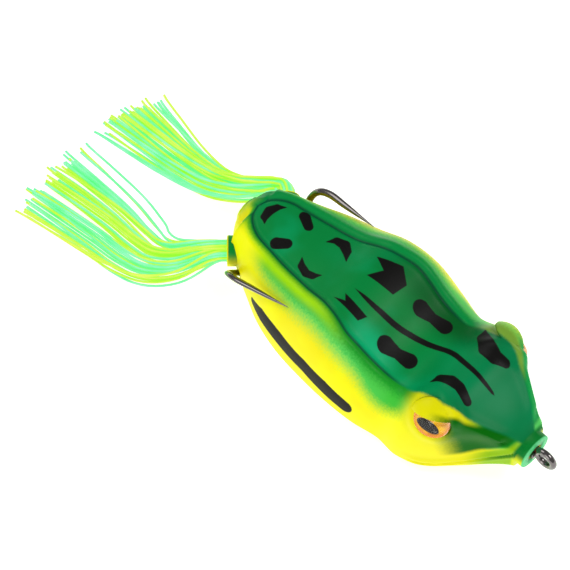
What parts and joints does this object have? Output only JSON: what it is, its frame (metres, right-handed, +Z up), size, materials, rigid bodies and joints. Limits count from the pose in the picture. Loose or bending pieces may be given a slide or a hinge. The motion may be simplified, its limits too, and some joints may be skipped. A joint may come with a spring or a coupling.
{
  "type": "hollow body frog lure",
  "caption": "Soft hollow-body frog topwater lure with a weighted double hook, domed eyes and strand skirt legs.",
  "frame": {"origin": "centre of the line-tie eye", "axes": "+Z up, -Y the way the nose points, +X the frog's left side and the axis of the line-tie eye"},
  "size_m": [0.0413, 0.1043, 0.0195],
  "materials": {
    "shell_skin": "satin painted soft vinyl",
    "seal_glue": "cured clear glue",
    "hook_steel": "black nickel",
    "weight_metal": "as cast",
    "eye_foil": "hammered gold foil",
    "eye_dome": "clear gloss resin",
    "band_rubber": "matt",
    "skirt_lime": "glossy translucent silicone",
    "skirt_mint": "glossy translucent silicone"
  },
  "bodies": {
    "lure_body": {"body_shell": "shell_skin", "nose_seal": "seal_glue", "double_hook": "hook_steel", "keel_weight": "weight_metal"},
    "eyes": {"right_eye_foil": "eye_foil", "left_eye_foil": "eye_foil", "right_eye_dome": "eye_dome", "left_eye_dome": "eye_dome"},
    "leg_seats": {"right_skirt_band": "band_rubber", "left_skirt_band": "band_rubber", "right_skirt_neck": "skirt_lime", "left_skirt_neck": "skirt_lime"},
    "right_leg": {"right_skirt_lime": "skirt_lime", "right_skirt_mint": "skirt_mint"},
    "left_leg": {"left_skirt_lime": "skirt_lime", "left_skirt_mint": "skirt_mint"}
  },
  "joints": [
    {"name": "shell_squeeze", "type": "slide", "parent": "lure_body", "child": "eyes", "axis": [0, 0, -1], "range_m": [0, 0.004], "stiffness_N_per_m": 600, "deforming": ["body_shell"]},
    {"name": "leg_seat_drop", "type": "slide", "parent": "lure_body", "child": "leg_seats", "axis": [0, 0, -1], "range_m": [0, 0.0012]},
    {"name": "right_leg_sweep", "type": "hinge", "parent": "leg_seats", "child": "right_leg", "pos_m": [-0.0072, 0.066, -0.0022], "axis": [0, 0, 1], "range_deg": [-2, 30]},
    {"name": "left_leg_sweep", "type": "hinge", "parent": "leg_seats", "child": "left_leg", "pos_m": [0.0072, 0.066, -0.0022], "axis": [0, 0, 1], "range_deg": [-30, 2]}
  ],
  "couplings": [
    {"joint": "leg_seat_drop", "follows": "shell_squeeze", "ratio": 0.29}
  ]
}
